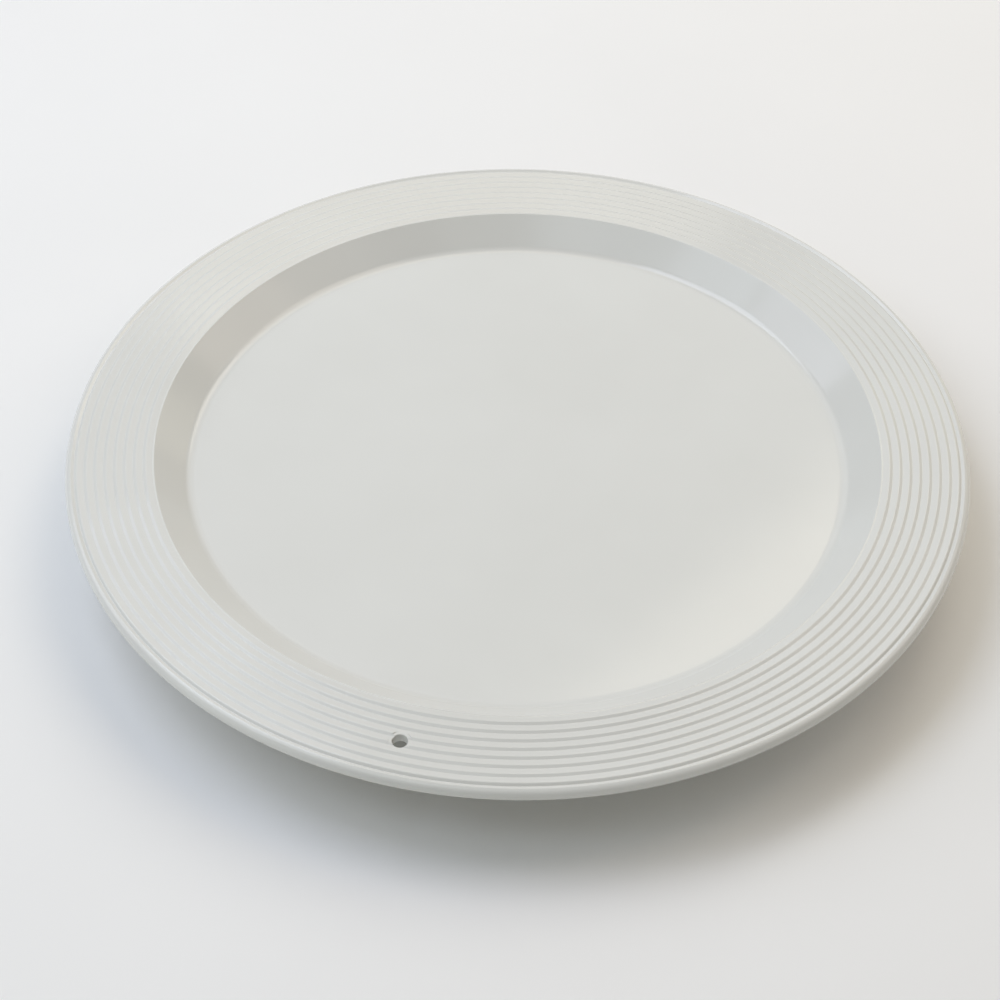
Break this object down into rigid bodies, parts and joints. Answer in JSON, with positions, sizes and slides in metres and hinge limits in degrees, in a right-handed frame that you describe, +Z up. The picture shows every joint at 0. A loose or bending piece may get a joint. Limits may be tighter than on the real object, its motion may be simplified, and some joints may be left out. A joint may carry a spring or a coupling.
{
  "type": "lazy susan turntable",
  "caption": "Round moulded turntable with a reeded rim, sloping wall, sunken well and hanging hole, turning on a pressed-ring ball bearing over a footed base.",
  "frame": {"origin": "the point under the axis of rotation, on the surface that the feet stand on", "axes": "+Z up along the axis of rotation; the hanging hole through the rim lies towards -Y"},
  "size_m": [0.38, 0.38, 0.038],
  "materials": {
    "plate_plastic": "semi-gloss, very fine moulded texture",
    "base_plastic": "satin, fine moulded texture",
    "cage_plastic": "natural nylon",
    "ring_steel": "zinc-plated pressed sheet",
    "ball_steel": "polished, lightly greased",
    "screw_steel": "zinc plated",
    "foot_rubber": "matt"
  },
  "bodies": {
    "base": {"base_disc": "base_plastic", "rubber_foot_1": "foot_rubber", "rubber_foot_2": "foot_rubber", "rubber_foot_3": "foot_rubber", "rubber_foot_4": "foot_rubber", "rubber_foot_5": "foot_rubber", "rubber_foot_6": "foot_rubber", "bearing_lower_ring": "ring_steel", "base_screw_1": "screw_steel", "base_screw_2": "screw_steel", "base_screw_3": "screw_steel", "base_screw_4": "screw_steel"},
    "turntable": {"turntable_plate": "plate_plastic", "bearing_upper_ring": "ring_steel", "plate_screw_1": "screw_steel", "plate_screw_2": "screw_steel", "plate_screw_3": "screw_steel", "plate_screw_4": "screw_steel"},
    "cage": {"ball_cage": "cage_plastic"},
    "ball_01": {"bearing_ball_01": "ball_steel"},
    "ball_02": {"bearing_ball_02": "ball_steel"},
    "ball_03": {"bearing_ball_03": "ball_steel"},
    "ball_04": {"bearing_ball_04": "ball_steel"},
    "ball_05": {"bearing_ball_05": "ball_steel"},
    "ball_06": {"bearing_ball_06": "ball_steel"},
    "ball_07": {"bearing_ball_07": "ball_steel"},
    "ball_08": {"bearing_ball_08": "ball_steel"},
    "ball_09": {"bearing_ball_09": "ball_steel"},
    "ball_10": {"bearing_ball_10": "ball_steel"},
    "ball_11": {"bearing_ball_11": "ball_steel"},
    "ball_12": {"bearing_ball_12": "ball_steel"},
    "ball_13": {"bearing_ball_13": "ball_steel"},
    "ball_14": {"bearing_ball_14": "ball_steel"},
    "ball_15": {"bearing_ball_15": "ball_steel"},
    "ball_16": {"bearing_ball_16": "ball_steel"}
  },
  "joints": [
    {"name": "turntable_spin", "type": "hinge", "parent": "base", "child": "turntable", "pos_m": [0, 0, 0.018], "axis": [0, 0, 1], "continuous": true},
    {"name": "cage_orbit", "type": "hinge", "parent": "base", "child": "cage", "pos_m": [0, 0, 0.01413], "axis": [0, 0, 1], "continuous": true},
    {"name": "ball_roll_01", "type": "hinge", "parent": "cage", "child": "ball_01", "pos_m": [0.064, 0, 0.01413], "axis": [1, 0, 0], "continuous": true},
    {"name": "ball_roll_02", "type": "hinge", "parent": "cage", "child": "ball_02", "pos_m": [0.05913, 0.02449, 0.01413], "axis": [0.9239, 0.3827, 0], "continuous": true},
    {"name": "ball_roll_03", "type": "hinge", "parent": "cage", "child": "ball_03", "pos_m": [0.04525, 0.04525, 0.01413], "axis": [0.7071, 0.7071, 0], "continuous": true},
    {"name": "ball_roll_04", "type": "hinge", "parent": "cage", "child": "ball_04", "pos_m": [0.02449, 0.05913, 0.01413], "axis": [0.3827, 0.9239, 0], "continuous": true},
    {"name": "ball_roll_05", "type": "hinge", "parent": "cage", "child": "ball_05", "pos_m": [0, 0.064, 0.01413], "axis": [0, 1, 0], "continuous": true},
    {"name": "ball_roll_06", "type": "hinge", "parent": "cage", "child": "ball_06", "pos_m": [-0.02449, 0.05913, 0.01413], "axis": [-0.3827, 0.9239, 0], "continuous": true},
    {"name": "ball_roll_07", "type": "hinge", "parent": "cage", "child": "ball_07", "pos_m": [-0.04525, 0.04525, 0.01413], "axis": [-0.7071, 0.7071, 0], "continuous": true},
    {"name": "ball_roll_08", "type": "hinge", "parent": "cage", "child": "ball_08", "pos_m": [-0.05913, 0.02449, 0.01413], "axis": [-0.9239, 0.3827, 0], "continuous": true},
    {"name": "ball_roll_09", "type": "hinge", "parent": "cage", "child": "ball_09", "pos_m": [-0.064, 0, 0.01413], "axis": [-1, 0, 0], "continuous": true},
    {"name": "ball_roll_10", "type": "hinge", "parent": "cage", "child": "ball_10", "pos_m": [-0.05913, -0.02449, 0.01413], "axis": [-0.9239, -0.3827, 0], "continuous": true},
    {"name": "ball_roll_11", "type": "hinge", "parent": "cage", "child": "ball_11", "pos_m": [-0.04525, -0.04525, 0.01413], "axis": [-0.7071, -0.7071, 0], "continuous": true},
    {"name": "ball_roll_12", "type": "hinge", "parent": "cage", "child": "ball_12", "pos_m": [-0.02449, -0.05913, 0.01413], "axis": [-0.3827, -0.9239, 0], "continuous": true},
    {"name": "ball_roll_13", "type": "hinge", "parent": "cage", "child": "ball_13", "pos_m": [0, -0.064, 0.01413], "axis": [0, -1, 0], "continuous": true},
    {"name": "ball_roll_14", "type": "hinge", "parent": "cage", "child": "ball_14", "pos_m": [0.02449, -0.05913, 0.01413], "axis": [0.3827, -0.9239, 0], "continuous": true},
    {"name": "ball_roll_15", "type": "hinge", "parent": "cage", "child": "ball_15", "pos_m": [0.04525, -0.04525, 0.01413], "axis": [0.7071, -0.7071, 0], "continuous": true},
    {"name": "ball_roll_16", "type": "hinge", "parent": "cage", "child": "ball_16", "pos_m": [0.05913, -0.02449, 0.01413], "axis": [0.9239, -0.3827, 0], "continuous": true}
  ],
  "couplings": [
    {"joint": "cage_orbit", "follows": "turntable_spin", "ratio": 0.5},
    {"joint": "ball_roll_01", "follows": "turntable_spin", "ratio": -10.667},
    {"joint": "ball_roll_02", "follows": "turntable_spin", "ratio": -10.667},
    {"joint": "ball_roll_03", "follows": "turntable_spin", "ratio": -10.667},
    {"joint": "ball_roll_04", "follows": "turntable_spin", "ratio": -10.667},
    {"joint": "ball_roll_05", "follows": "turntable_spin", "ratio": -10.667},
    {"joint": "ball_roll_06", "follows": "turntable_spin", "ratio": -10.667},
    {"joint": "ball_roll_07", "follows": "turntable_spin", "ratio": -10.667},
    {"joint": "ball_roll_08", "follows": "turntable_spin", "ratio": -10.667},
    {"joint": "ball_roll_09", "follows": "turntable_spin", "ratio": -10.667},
    {"joint": "ball_roll_10", "follows": "turntable_spin", "ratio": -10.667},
    {"joint": "ball_roll_11", "follows": "turntable_spin", "ratio": -10.667},
    {"joint": "ball_roll_12", "follows": "turntable_spin", "ratio": -10.667},
    {"joint": "ball_roll_13", "follows": "turntable_spin", "ratio": -10.667},
    {"joint": "ball_roll_14", "follows": "turntable_spin", "ratio": -10.667},
    {"joint": "ball_roll_15", "follows": "turntable_spin", "ratio": -10.667},
    {"joint": "ball_roll_16", "follows": "turntable_spin", "ratio": -10.667}
  ]
}
